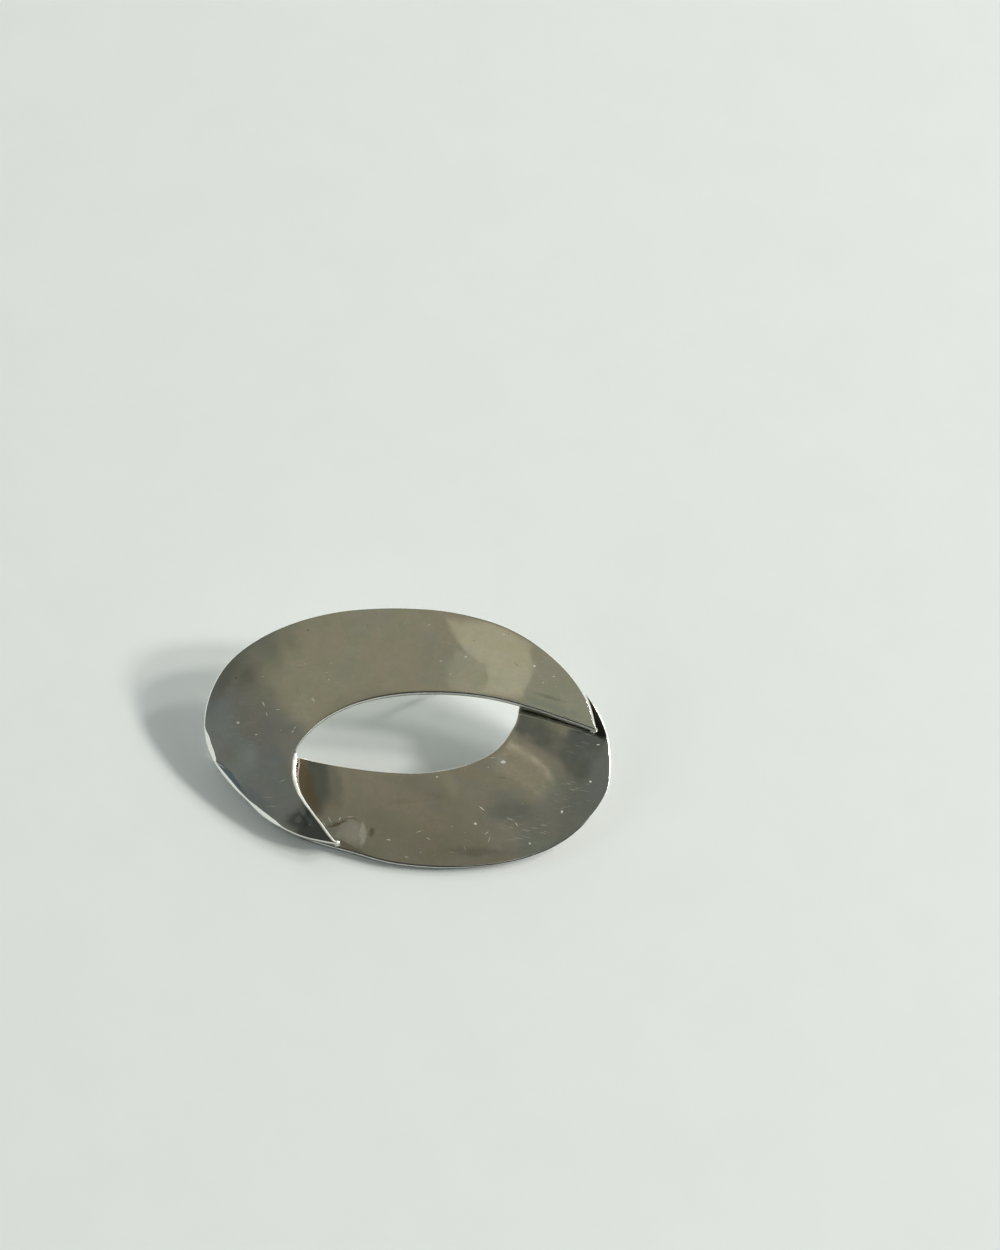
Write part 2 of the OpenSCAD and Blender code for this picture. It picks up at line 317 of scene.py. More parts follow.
# Specks, hairs and nicks: centre, length, width, turn in degrees, strength
UPPER_PALE = [
    ((-21.5, -1.6), 0.32, 0.26, 0, 0.9), ((-19.0, -3.0), 0.3, 0.12, 10, 0.6),
    ((-18.7, 1.1), 0.7, 0.1, -60, 0.6), ((-18.1, -0.2), 0.6, 0.1, -65, 0.5),
    ((-16.8, 0.5), 0.5, 0.1, 0, 0.5), ((-14.3, -1.7), 0.35, 0.16, 50, 0.6),
    ((-14.5, -2.2), 0.35, 0.18, 60, 0.6), ((-12.6, 2.2), 0.6, 0.3, -50, 0.45),
    ((-11.4, 6.0), 0.8, 0.06, 0, 0.4), ((-14.9, 6.6), 0.9, 0.05, 8, 0.4),
    ((0.3, 14.3), 0.5, 0.08, 40, 0.4), ((2.5, 9.6), 0.36, 0.1, 0, 0.7),
    ((5.5, 10.7), 0.3, 0.18, 30, 0.6), ((9.8, 14.8), 0.3, 0.15, 0, 0.5),
    ((14.2, 11.2), 0.3, 0.2, 0, 0.8), ((16.8, 10.4), 0.4, 0.08, 10, 0.5),
    ((-14.8, -8.6), 0.9, 0.12, 30, 0.35), ((-23.0, -7.1), 1.8, 0.06, -30, 0.6),
    ((-15.6, -11.9), 1.5, 0.05, 10, 0.3), ((-16.3, -10.8), 1.2, 0.05, 5, 0.3),
]
UPPER_DARK = [
    ((-14.9, 6.4), 1.3, 0.07, 8, 0.5), ((-13.0, 6.9), 1.0, 0.06, -5, 0.4),
    ((-11.8, 4.4), 0.5, 0.07, 0, 0.4), ((-7.3, 13.0), 0.8, 0.06, -85, 0.5),
    ((-4.4, 5.6), 1.0, 0.08, 20, 0.35), ((12.0, 10.9), 0.7, 0.1, -35, 0.8),
    ((6.2, 13.1), 0.3, 0.12, 30, 0.5), ((-14.7, 3.3), 0.7, 0.08, 85, 0.4),
    ((-14.7, 11.6), 0.4, 0.3, 0, 0.4), ((-22.7, 4.3), 0.4, 0.25, 20, 0.5),
    ((10.4, 15.0), 0.3, 0.16, 0, 0.5),
]
LOWER_PALE = [
    ((4.2, -5.0), 0.3, 0.2, 0, 0.7), ((12.1, -1.6), 0.6, 0.38, 10, 1.0),
    ((10.3, -8.0), 0.8, 0.08, -35, 0.8), ((9.8, -10.1), 0.36, 0.24, 0, 0.9),
    ((14.0, -8.7), 0.9, 0.06, -10, 0.5), ((14.9, -9.2), 0.7, 0.07, -48, 0.5),
    ((11.8, -11.8), 0.8, 0.08, 80, 0.4), ((11.4, -11.0), 0.5, 0.1, 50, 0.4),
    ((20.3, -6.5), 0.38, 0.24, 90, 0.7), ((23.3, -1.9), 0.3, 0.2, 0, 0.6),
    ((16.9, -11.3), 0.3, 0.2, 0, 0.6), ((2.0, -15.7), 0.5, 0.07, 0, 0.5),
    ((-0.6, -13.9), 0.5, 0.1, 0, 0.8), ((3.0, -12.3), 0.8, 0.1, 30, 0.4),
    ((4.3, -13.0), 0.5, 0.1, -20, 0.4), ((9.0, -13.5), 0.6, 0.06, -60, 0.4),
    ((7.5, -14.2), 0.7, 0.06, 5, 0.3), ((10.8, -1.3), 0.7, 0.07, 5, 0.4),
    ((23.6, 3.1), 0.35, 0.12, 20, 0.6), ((-8.2, -12.4), 0.9, 0.06, -50, 0.6),
    ((-7.0, -12.1), 0.4, 0.12, 70, 0.7), ((-5.8, -11.7), 0.8, 0.07, 10, 0.6),
    ((-8.9, -12.9), 0.6, 0.06, -40, 0.5),
]
LOWER_DARK = [
    ((-7.9, -12.8), 0.9, 0.1, 28, 0.5), ((12.3, -3.6), 1.0, 0.08, 8, 0.4),
    ((3.6, -11.7), 0.6, 0.1, 10, 0.4), ((21.6, -4.0), 0.5, 0.08, 0, 0.4),
    ((10.6, -5.0), 0.3, 0.1, 60, 0.4),
]

# Places with many fine scratches
UPPER_SCUFFS = [((-20.0, -4.0), 8.0, 5.0, -50, 0.6)]
LOWER_SCUFFS = [((15.5, -9.8), 8.0, 4.0, 8, 1.0), ((20.5, -4.5), 4.0, 5.0, 0, 0.8)]
UPPER_MARKS = (UPPER_STAINS, UPPER_BLOOM, UPPER_PALE, UPPER_DARK, UPPER_SCUFFS)
LOWER_MARKS = (LOWER_STAINS_AND_SHADE, LOWER_BLOOM, LOWER_PALE, LOWER_DARK, LOWER_SCUFFS)

# The post's and the solder's surfaces, as noise above, but by the metre
POST_CLOUDS = ((700, 4, 0.6), 0.35, 0.7)
POST_POLISH = ((1500, 3), 0.3, 0.7, 0.14, 0.3)
DRAWN_STRETCH = (6000, 6000, 300)
DRAWN_LINES = (1.0, 2)
DRAWN_BUMP = 0.003
SOLDER_PITS = (3500, 4, 0.6)
PIT_TINTS, PIT_ROUGH = (0.3, 0.6), (0.3, 0.7, 0.38, 0.2)
PIT_BUMP = 0.02

# The room that the silver mirrors, dim overhead and pale low down
ROOM = {
    "ceiling": (0.250, 0.241, 0.181, 1),
    "near": (0.212, 0.199, 0.153, 1),
    "low": (0.170, 0.161, 0.125, 1),
    "left": (0.148, 0.150, 0.133, 1),
    "left_rim": (0.150, 0.166, 0.162, 1),
    "cool": (0.137, 0.153, 0.146, 1),
    "beside": (0.185, 0.210, 0.205, 1),
    "behind": (0.132, 0.135, 0.115, 1),
    "far": (0.162, 0.170, 0.148, 1),
    "end": (0.138, 0.147, 0.130, 1),
    "right": (0.265, 0.270, 0.212, 1),
    "corner": (0.099, 0.107, 0.093, 1),
    "shelf": (0.405, 0.390, 0.295, 1),
    "shelf_dim": (0.315, 0.304, 0.230, 1),
    "gleam": (0.430, 0.413, 0.308, 1),
    "front": (0.045, 0.050, 0.046, 1),
    "lamp": (1.05, 1.05, 1.00, 1),
    "walls": (1.0, 1.08, 1.08, 1),
    "window": (1.95, 2.08, 2.04, 1),
    "window_low": (0.88, 0.93, 0.91, 1),
}
# Slanting directions: the part of y in leftward and slant, and of x in skew
LEFTWARD, SLANT, SKEW = 0.35, 0.65, 0.34
LEFTWARD_STEP = (-0.03, 0.06, 0, 0.04)
# Where near turns to low along y, walls to window along side, and window to window_low along z
NEAR_TO_LOW = (-0.05, -0.155)
WALLS_TO_WINDOW = (0.25, 0.8)
WINDOW_TO_LOW = (0.62, 0.50)
# Noise that blurs the zones' outlines
ROOM_BLUR = ((14, 4, 0.6), 0.05)
SHELF_EDGES = (("slant", 0.294, 0.304), ("x", 0.315, 0.295), ("y", 0.46, 0.40), ("y", 0.18, 0.21))
# Zones of the room, each laid over those before it: tint, parts and spots that it covers.
# A part is its soft edges: the direction an edge lies across, where it starts, where it is full,
# and what these stand for if not 0 and 1. A spot is centre, radii, turn in degrees, softness, strength.
ROOM_ZONES = [
    ("left", [[("leftward", -0.32, -0.47)]], []),
    ("left_rim", [[("x", -0.55, -0.61), ("y", 0.13, 0.04)]], []),
    ("cool", [[("y", -0.07, -0.17), ("x", -0.34, -0.40)]], []),
    ("beside", [[("y", -0.08, -0.16), ("x", -0.525, -0.57)]], []),
    ("behind", [
        [("y", 0.08, 0.18), ("x", -0.44, -0.54)],
        [("y", 0.19, 0.27, 0, 0.45), ("x", -0.33, -0.42)],
    ], []),
    ("right", [[("x", 0.29, 0.33)]], []),
    ("near", [[("y", 0.14, 0.06), ("x", -0.34, -0.24)]], []),
    ("far", [[("x", 0.275, 0.315), ("y", 0.0, -0.025)]], []),
    ("end", [[("x", 0.335, 0.365), ("y", 0.12, 0.07)]], []),
    ("ceiling", [], [((0.085, -0.072), (0.035, 0.02), 0, 0.6, 0.8)]),
    ("corner", [], [((0.395, 0.052), (0.045, 0.036), 0, 0.25, 1)]),
    ("corner", [], [((0.31, 0.07), (0.11, 0.026), 4, 0.3, 1)]),
    ("left", [], [((0.282, -0.09), (0.052, 0.03), 10, 0.45, 0.6)]),
    # A pale shelf of the ceiling behind, with its own edges
    ("shelf_dim", [[("x", 0.065, 0.08), ("y", 0.28, 0.27), ("x", 0.30, 0.27), ("y", 0.15, 0.17)]], []),
    ("shelf", [[*SHELF_EDGES, ("y", 0.275, 0.285)], [*SHELF_EDGES, ("x", 0.185, 0.2)]], []),
    # A gleam over the near side, crisp towards the right
    ("gleam", [
        [("skew", 0.091, 0.083), ("skew", 0.063, 0.080), ("x", 0.175, 0.225), ("x", 0.335, 0.30)],
    ], []),
    ("wall", [[("z", 0.74, 0.52)]], []),
    # The near side of the room is dark, with a lamp in it towards the right
    ("lamp", [[("y", -0.34, -0.38), ("y", -0.52, -0.48), ("x", 0.2, 0.26), ("x", 0.56, 0.5)]], []),
    ("front", [
        [("y", -0.255, -0.275), ("x", -0.36, -0.34), ("x", 0.26, 0.2)],
        [("y", -0.58, -0.62), ("x", -0.62, -0.56), ("x", 0.60, 0.54)],
        [("ahead", -0.22, -0.30), ("x", 0.26, 0.34), ("z", 0.72, 0.64)],
    ], [((-0.349, -0.303), (0.03, 0.036), 0, 0.14, 1)]),
]
# Keeps the room's across direction above 0 straight overhead
OVERHEAD = 1.0001


def dome(u, v):
    return -(u * u + v * v) / (2 * DOME_R)


def lap_gap(u, v):
    return RIM_GAP + CROWN_GAP * (1 - (u / HALF_L) ** 2 - (v / HALF_W) ** 2)


def leaf_top(u, v, is_upper):
    return dome(u, v) if is_upper else dome(u, v) - SHEET - lap_gap(u, v)


def curve(knots):
    """A smooth dense line through the knots, the same curve as in the part's source."""
    k = np.array([knots[0], *knots, knots[-1]], float)
    t = np.linspace(0, 1, KNOT_STEPS, endpoint=False)[:, None]
    line = [
        0.5 * (2 * b + (c - a) * t + (2 * a - 5 * b + 4 * c - d) * t**2
               + (3 * b - a - 3 * c + d) * t**3)
        for a, b, c, d in zip(k, k[1:], k[2:], k[3:])
    ]
    return np.vstack([*line, k[-1:]])


def lengths(line):
    """The length of a line up to each of its points."""
    return np.concatenate([[0], np.cumsum(np.linalg.norm(np.diff(line, axis=0), axis=1))])


def spaced(line, steps):
    """Points at equal steps of length along a line."""
    run = lengths(line)
    at = np.linspace(0, run[-1], steps + 1)
    return np.column_stack([np.interp(at, run, line[:, 0]), np.interp(at, run, line[:, 1])])


def rounded(before, corner, after, reach, spans):
    """A soft corner, as points along a short curve about it."""
    cuts = []
    for end in (before, after):
        way = np.subtract(end, corner)
        length = np.linalg.norm(way)
        cuts.append(min(reach, MOST_CORNER * length) * way / length)
    t = np.linspace(0, 1, spans + 1)[:, None]
    return corner + cuts[0] * (1 - t) ** 2 + cuts[1] * t**2


def section(width, inner_bevel, inner_slope, outer_bevel, outer_slope, lean):
    """One closed section of the sheet, from the inner edge: distance across and depth,
    with each point's distance in from the edge and its depth down the wall."""
    a, b = (min(bevel, MOST_BEVEL * width) for bevel in (inner_bevel, outer_bevel))
    low = min(UNDER, MOST_UNDER * width)
    foot = width - min(lean, MOST_LEAN * width)
    corners = [
        ((0, inner_slope * a), SOFT_CORNER, CORNER_SPANS, BEVEL_SPANS),
        ((a, 0), SOFT_CORNER, CORNER_SPANS, TOP_SPANS),
        ((width - b, 0), SOFT_CORNER, CORNER_SPANS, BEVEL_SPANS),
        ((width, outer_slope * b), SOFT_CORNER, CORNER_SPANS, WALL_SPANS),
        ((foot, SHEET), low, UNDER_SPANS, BOTTOM_SPANS),
        ((0, SHEET), low, UNDER_SPANS, WALL_SPANS),
    ]
    turns = []
    for k, (corner, reach, spans, _) in enumerate(corners):
        before, after = corners[k - 1][0], corners[(k + 1) % len(corners)][0]
        turns.append(rounded(before, corner, after, reach, spans))
    line = []
    for turn, after, (_, _, _, spans) in zip(turns, turns[1:] + turns[:1], corners):
        straight = np.linspace(turn[-1], after[0], spans + 1)[1:-1]
        line += [turn, straight]
    across, depth = np.vstack(line).T
    above = np.minimum(across - a, width - b - across)
    below = np.minimum(across, width - across) - low
    inside = np.where(depth > SHEET - NEARLY, below, np.where(depth < NEARLY, above, 0))
    down = depth - np.where(across < width / 2, inner_slope * a, outer_slope * b)
    down = np.where(inside > NEARLY, 0, down)
    return across, depth, np.clip(inside, 0, None), np.clip(down, 0, None)


def unevenness(u, v, seed):
    """Low waves in the sheet, in millimetres."""
    rng = np.random.default_rng(seed)
    height = 0 * u
    for _ in range(WAVES):
        length = rng.uniform(WAVE_SHORT, WAVE_LONG)
        turn, phase = rng.uniform(0, math.tau, 2)
        along = u * math.cos(turn) + v * math.sin(turn)
        height += WAVE_HEIGHT * length / WAVE_SHORT * np.sin(math.tau * along / length + phase)
    return height


def filed(table, along):
    """The values of a table for a place that far along a leaf."""
    places, *columns = zip(*table)
    return [np.interp(along, places, column) for column in columns]


def leaf_sections(outer_knots, inner_knots, outer_filed, inner_filed, is_upper, seed):
    """The sections of a leaf in the ring's frame, with each point's distance in from the edge,
    its depth down the wall, its place along the leaf, its distance across and its depth,
    all in millimetres."""
    outer, inner = (spaced(curve(knots), OUTLINE_STEPS) for knots in (outer_knots, inner_knots))
    wide = np.flatnonzero(np.linalg.norm(outer - inner, axis=1) >= TIP_W)
    run = lengths((outer + inner) / 2)
    rows, edges, marks = [], [], []
    for k in np.linspace(wide[0], wide[-1], STATIONS + 1).round().astype(int):
        along = k / OUTLINE_STEPS
        inner_bevel, inner_out, inner_slope = filed(inner_filed, along)
        outer_bevel, outer_out, outer_slope = filed(outer_filed, along)
        lean = 0 if is_upper else filed(LOWER_LEAN, along)[0]
        way = (outer[k] - inner[k]) / np.linalg.norm(outer[k] - inner[k])
        start = inner[k] - inner_out * way
        width = np.linalg.norm(outer[k] + outer_out * way - start)
        across, depth, edge, down = section(
            width, inner_bevel, inner_slope, outer_bevel, outer_slope, lean)
        plan = start + way * across[:, None]
        if not is_upper:
            plan = -plan
        u, v = plan.T
        w = leaf_top(u, v, is_upper) - depth + unevenness(u, v, seed)
        rows.append(np.column_stack([u, v, w]))
        edges.append(np.column_stack([edge, down]))
        marks.append(np.column_stack([0 * across + run[k], across - inner_out, depth]))
    for end, near in ((0, 1), (-1, -2)):
        nose_rows(rows, edges, marks, end, near)
    return np.array(rows), np.array(edges), np.array(marks)


def nose_rows(rows, edges, marks, end, near):
    """Rounds a tip off with a few sections that shrink to a point."""
    last = rows[end]
    middle = last.mean(0)
    out = middle - rows[near].mean(0)
    out /= np.linalg.norm(out)
    for k in range(1, NOSE_SPANS + 1):
        a = math.radians(90 * k / (NOSE_SPANS + NOSE_OPEN))
        row = middle + (last - middle) * math.cos(a) + out * NOSE * math.sin(a)
        rows.insert(0 if end == 0 else len(rows), row)
        edges.insert(0 if end == 0 else len(edges), 0 * edges[0])
        marks.insert(0 if end == 0 else len(marks), marks[end])


def scene_object(name, data):
    made = bpy.data.objects.new(name, data)
    bpy.context.scene.collection.objects.link(made)
    return made


def mesh_object(name, points, faces):
    mesh = bpy.data.meshes.new(name)
    mesh.from_pydata([tuple(p) for p in points], [], faces)
    mesh.validate()
    bm = bmesh.new()
    bm.from_mesh(mesh)
    bmesh.ops.recalc_face_normals(bm, faces=bm.faces)
    bm.to_mesh(mesh)
    bm.free()
    mesh.shade_smooth()
    return scene_object(name, mesh)


def tube_faces(rows, ring):
    """Faces of a closed tube of rows, with both ends capped."""
    faces = []
    for i in range(rows - 1):
        for j in range(ring):
            a, b = i * ring + j, i * ring + (j + 1) % ring
            faces.append((a, b, b + ring, a + ring))
    faces.append(tuple(range(ring))[::-1])
    faces.append(tuple(range((rows - 1) * ring, rows * ring)))
    return faces


def leaf(name, outline, filed_edges, is_upper, seed):
    rows, edges, marks = leaf_sections(*outline, *filed_edges, is_upper, seed)
    made = mesh_object(name, rows.reshape(-1, 3) * MM, tube_faces(*rows.shape[:2]))
    for key, values in (("edge_mm", edges[..., 0]), ("wall_mm", edges[..., 1])):
        place = made.data.attributes.new(key, "FLOAT", "POINT")
        place.data.foreach_set("value", values.reshape(-1).astype(np.float32))
    for key, values in (("sheet_mm", marks), ("ring_mm", rows)):
        place = made.data.attributes.new(key, "FLOAT_VECTOR", "POINT")
        place.data.foreach_set("vector", values.reshape(-1).astype(np.float32))
    return made, rows


def lathe(profile, spans):
    """Points and faces of a round solid about w, from a profile of radius, height."""
    angles = np.linspace(0, math.tau, spans, endpoint=False)
    points = [(r * math.cos(a), r * math.sin(a), h) for r, h in profile for a in angles]
    return np.array(points), tube_faces(len(profile), spans)


def quarter(cx, cy, radius, start, end, steps=QUARTER_STEPS):
    a = np.radians(np.linspace(start, end, steps + 1))
    return [(cx + radius * math.cos(t), cy + radius * math.sin(t)) for t in a]


def ear_post():
    """The pad and its wire, drawn downwards from the leaf, with the solder's fillets."""
    r, pad_r = POST_D / 2, PAD_D / 2
    seam = SEAM_FILLET
    profile = [
        (NEARLY, PAD_GAP),
        (pad_r + seam / 2, PAD_GAP + SEAM_RISES[0]),
        (pad_r + seam, PAD_GAP + SEAM_RISES[1]),
        *quarter(pad_r + seam, -PAD_GAP - seam, seam * SEAM_TUCK, 90, 180)[1:],
        *quarter(pad_r - PAD_ROUND, -PAD_T + PAD_ROUND, PAD_ROUND, 0, -90),
        *quarter(r + ROOT_FILLET, -PAD_T - ROOT_FILLET, ROOT_FILLET, 90, 180),
        *quarter(0, -(PAD_T + POST_L - r), r, 0, TIP_END, TIP_STEPS),
    ]
    points, faces = lathe(profile, POST_SIDES)
    slope = Vector((POST_U, POST_V, DOME_R)).normalized()
    turn = Vector((0, 0, 1)).rotation_difference(slope).to_matrix().to_4x4()
    base = Vector((POST_U, POST_V, dome(POST_U, POST_V) - SHEET - PAD_GAP))
    made = mesh_object("ear_post", points, faces)
    made.data.transform(Matrix.Scale(MM, 4) @ Matrix.Translation(base) @ turn)
    return made


def solder(sections):
    """Lumpy beads of solder in the laps, one near each tip."""
    whole = bmesh.new()
    for number, (rows, is_upper) in enumerate(sections):
        for row, radii, shift in BEADS:
            near = rows[row + (NOSE_SPANS if row == 0 else -NOSE_SPANS)]
            u, v = near[:, :2].mean(0)
            way = 1 if is_upper else -1
            lap = dome(u, v) - SHEET - lap_gap(u, v) / 2
            centre = Vector((u + way * shift[0], v + way * shift[1], lap + shift[2]))
            bead = bmesh.ops.create_icosphere(whole, subdivisions=BEAD_FINENESS, radius=1)["verts"]
            for p in bead:
                x, y, z = (waves * c for waves, c in zip(LUMP_WAVES, p.co))
                lump = 1 + BEAD_LUMPS * math.sin(x + y + number) * math.cos(z + row)
                p.co = centre + Vector([r * c for r, c in zip(radii, p.co)]) * lump
    mesh = bpy.data.meshes.new("solder")
    bmesh.ops.scale(whole, vec=(MM, MM, MM), verts=whole.verts)
    whole.to_mesh(mesh)
    whole.free()
    mesh.shade_smooth()
    return scene_object("solder", mesh)


def rest_pose(points):
    """The resting ring's place: tilted and rolled until the post has the direction that the
    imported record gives, and moved so that the leaves fill the box of their node."""
    down = -Vector((POST_U, POST_V, DOME_R)).normalized()
    axis = Vector(frame["record"]["mounts"][0]["axis"]).normalized()
    flat = math.hypot(down.x, down.z)
    roll = math.atan2(down.z, down.x) - math.atan2(-math.sqrt(flat**2 - axis.x**2), axis.x)
    rolled = Matrix.Rotation(roll, 4, "Y") @ down
    tilt = math.atan2(axis.z, axis.y) - math.atan2(rolled.z, rolled.y)
    turn = Matrix.Rotation(tilt, 4, "X") @ Matrix.Rotation(roll, 4, "Y")
    turned = points @ np.array(turn.to_3x3()).T * MM
    low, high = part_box("leaves")
    middle = (low + high) / 2 - Vector((turned.min(0) + turned.max(0)) / 2)
    place = Vector((middle.x, middle.y, low.z - turned[:, 2].min()))
    return Matrix.Translation(place) @ turn


class Nodes:
    """Short names for building a node tree."""

    def __init__(self, tree):
        self.tree = tree

    def add(self, kind, *inputs, **settings):
        made = self.tree.nodes.new(kind)
        for key, value in settings.items():
            setattr(made, key, value)
        for socket, value in zip([s for s in made.inputs if s.enabled], inputs):
            self.put(socket, value)
        return made

    def put(self, socket, value):
        if isinstance(value, bpy.types.NodeSocket):
            self.tree.links.new(value, socket)
        else:
            socket.default_value = value

    def math(self, operation, *inputs, clamp=False):
        return self.add("ShaderNodeMath", *inputs, operation=operation, use_clamp=clamp).outputs[0]

    def chain(self, operation, values):
        """All the values put together by one operation. They may be made one by one."""
        values = iter(values)
        whole = next(values)
        for value in values:
            whole = self.math(operation, whole, value)
        return whole

    def times(self, *factors):
        return self.chain("MULTIPLY", factors)

    def mix(self, factor, a, b):
        made = self.tree.nodes.new("ShaderNodeMix")
        made.data_type = "RGBA"
        self.put(made.inputs["Factor"], factor)
        self.put(made.inputs[6], a)
        self.put(made.inputs[7], b)
        return made.outputs[2]

    def ramp(self, value, low, high, start=0.0, end=1.0):
        """value from low to high as start to end, with soft shoulders."""
        made = self.add("ShaderNodeMapRange", interpolation_type="SMOOTHSTEP")
        for socket, v in zip(made.inputs, (value, low, high, start, end)):
            self.put(socket, v)
        return made.outputs[0]

    def noise(self, vector, scale, detail=2.0, rough=0.5, distortion=0.0):
        made = self.tree.nodes.new("ShaderNodeTexNoise")
        self.put(made.inputs["Vector"], vector)
        self.put(made.inputs["Scale"], scale)
        self.put(made.inputs["Detail"], detail)
        self.put(made.inputs["Roughness"], rough)
        self.put(made.inputs["Distortion"], distortion)
        return made.outputs

    def patches(self, vector, settings, *limits):
        """Noise with those settings, as soft patches between those limits."""
        return self.ramp(self.noise(vector, *settings)[0], *limits)

    def cells(self, vector, scale):
        made = self.add("ShaderNodeTexVoronoi", vector, voronoi_dimensions="2D", feature="F1")
        made.inputs["Scale"].default_value = scale
        return made.outputs

    def attribute(self, name, output):
        return self.add("ShaderNodeAttribute", attribute_name=name).outputs[output]

    def mapped(self, vector, place=(0, 0, 0), turn=(0, 0, 0), scale=(1, 1, 1)):
        return self.add("ShaderNodeMapping", vector, place, turn, scale).outputs[0]

    def split(self, vector):
        return self.add("ShaderNodeSeparateXYZ", vector).outputs

    def flat(self, vector):
        """vector with its last part at 0."""
        return self.add("ShaderNodeVectorMath", vector, (1, 1, 0), operation="MULTIPLY").outputs[0]

    def shift(self, vector, place, settings, amount):
        """vector moved about by noise, which lies around 0.5."""
        noise = self.noise(place, *settings)["Color"]
        centred = self.add("ShaderNodeVectorMath", noise, (0.5, 0.5, 0.5), operation="SUBTRACT")
        moved = self.add("ShaderNodeVectorMath", centred.outputs[0], operation="SCALE")
        moved.inputs["Scale"].default_value = amount
        return self.add("ShaderNodeVectorMath", vector, moved.outputs[0], operation="ADD").outputs[0]


def new_material(name):
    material = bpy.data.materials.new(name)
    material.use_nodes = True
    nodes = Nodes(material.node_tree)
    shader = material.node_tree.nodes["Principled BSDF"]
    return material, nodes, shader


def put_surface(nodes, shader, colour, metal, rough, height, depth):
    """Gives a shader its colour, its metal, its roughness and a bump of depth millimetres."""
    nodes.put(shader.inputs["Base Color"], colour)
    nodes.put(shader.inputs["Metallic"], metal)
    nodes.put(shader.inputs["Roughness"], rough)
    bump = nodes.add("ShaderNodeBump")
    bump.inputs["Strength"].default_value = 1.0
    bump.inputs["Distance"].default_value = depth * MM
    nodes.put(bump.inputs["Height"], height)
    nodes.put(shader.inputs["Normal"], bump.outputs[0])


def blot(nodes, plan, centre, radii, turn, soft):
    """1 inside a soft-edged ellipse on a flat plan, 0 outside."""
    local = nodes.add(
        "ShaderNodeMapping", plan, (*centre, 0), (0, 0, math.radians(turn)), (*radii, 1),
        vector_type="TEXTURE").outputs[0]
    far = nodes.add("ShaderNodeVectorMath", local, operation="LENGTH").outputs["Value"]
    return nodes.ramp(far, 1 - soft, 1 + soft, 1, 0)


def hairs(nodes, plan, turn, length, width, share, step, seed):
    """Fine short scratches that run one way: 1 on a scratch."""
    place = [part * (seed + step) for part in HAIR_STEP]
    way = nodes.mapped(plan, (*place, 0), (0, 0, math.radians(turn)), (1 / length, 1 / width, 0))
    cells = nodes.cells(way, 1.0)
    near = nodes.ramp(cells["Distance"], *HAIR_FADE)
    chosen = nodes.math("LESS_THAN", nodes.split(cells["Color"])[0], share)
    return nodes.times(near, chosen)


def marked(nodes, plan, marks):
    """1 on the listed marks: centre, length, width, turn in degrees and strength."""
    whole = 0.0
    for centre, length, width, turn, strength in marks:
        mark = nodes.times(blot(nodes, plan, centre, (length / 2, width / 2), turn, MARK_SOFT), strength)
        whole = nodes.math("MAXIMUM", mark, whole)
    return whole


